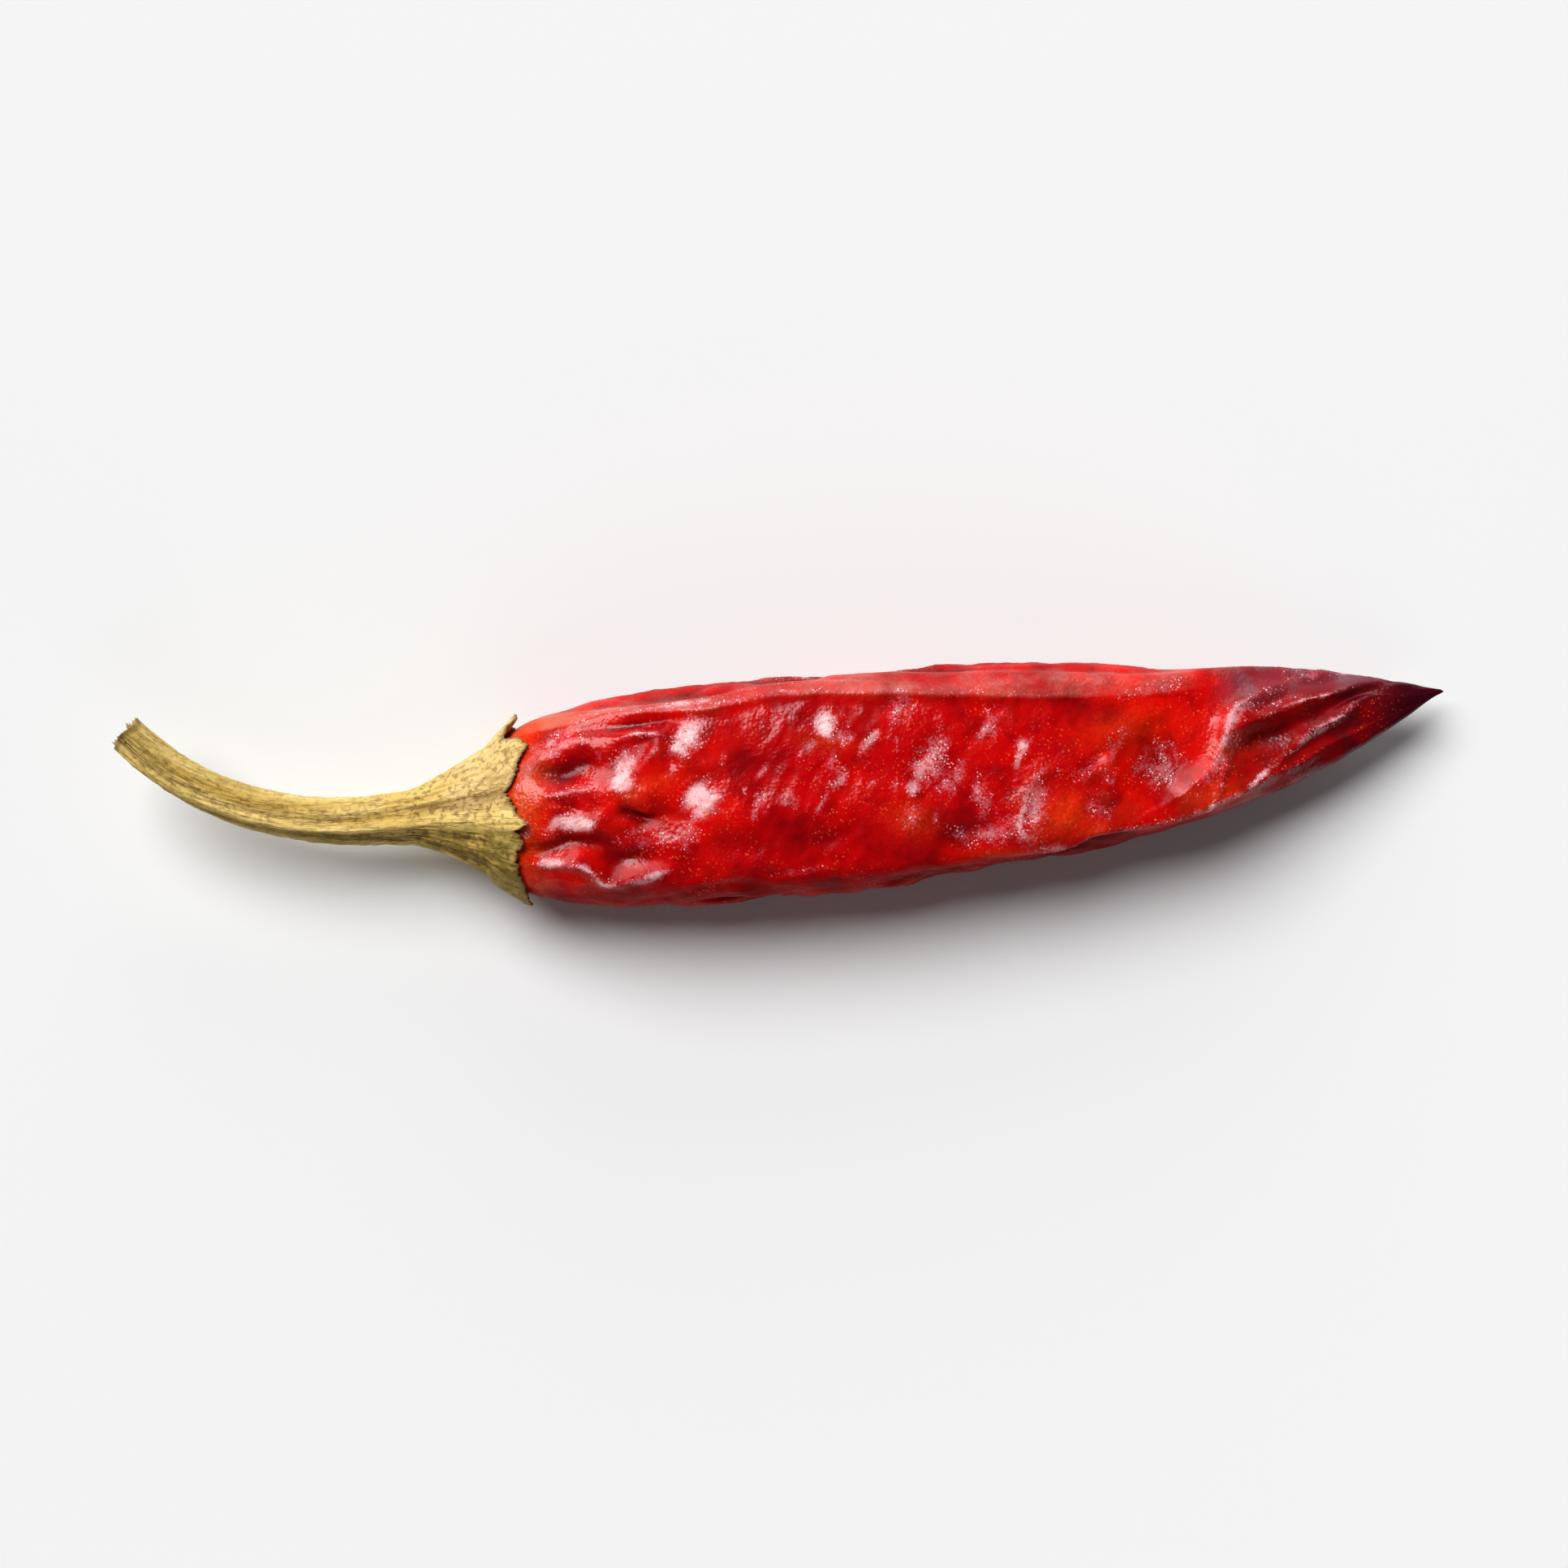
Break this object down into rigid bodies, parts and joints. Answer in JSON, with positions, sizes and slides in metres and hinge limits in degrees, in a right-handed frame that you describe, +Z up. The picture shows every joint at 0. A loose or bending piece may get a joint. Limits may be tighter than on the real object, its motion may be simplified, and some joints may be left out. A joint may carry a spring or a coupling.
{
  "type": "dried chilli pepper",
  "caption": "Long shrivelled dried red chilli pepper lying on its flatter side, with a toothed calyx cap and a curved stem.",
  "frame": {"origin": "middle of the footprint, on the surface that the chilli lies on", "axes": "+X from the cut end of the stem to the tip of the pod, +Y across it to the side that the tip and the stem bend to, +Z up"},
  "size_m": [0.0932, 0.0168, 0.0107],
  "materials": {
    "pod_skin": "glossy",
    "dried_calyx": "matt",
    "dried_stem": "matt"
  },
  "bodies": {
    "root": {"pod": "pod_skin", "calyx": "dried_calyx", "stem": "dried_stem"}
  },
  "joints": []
}
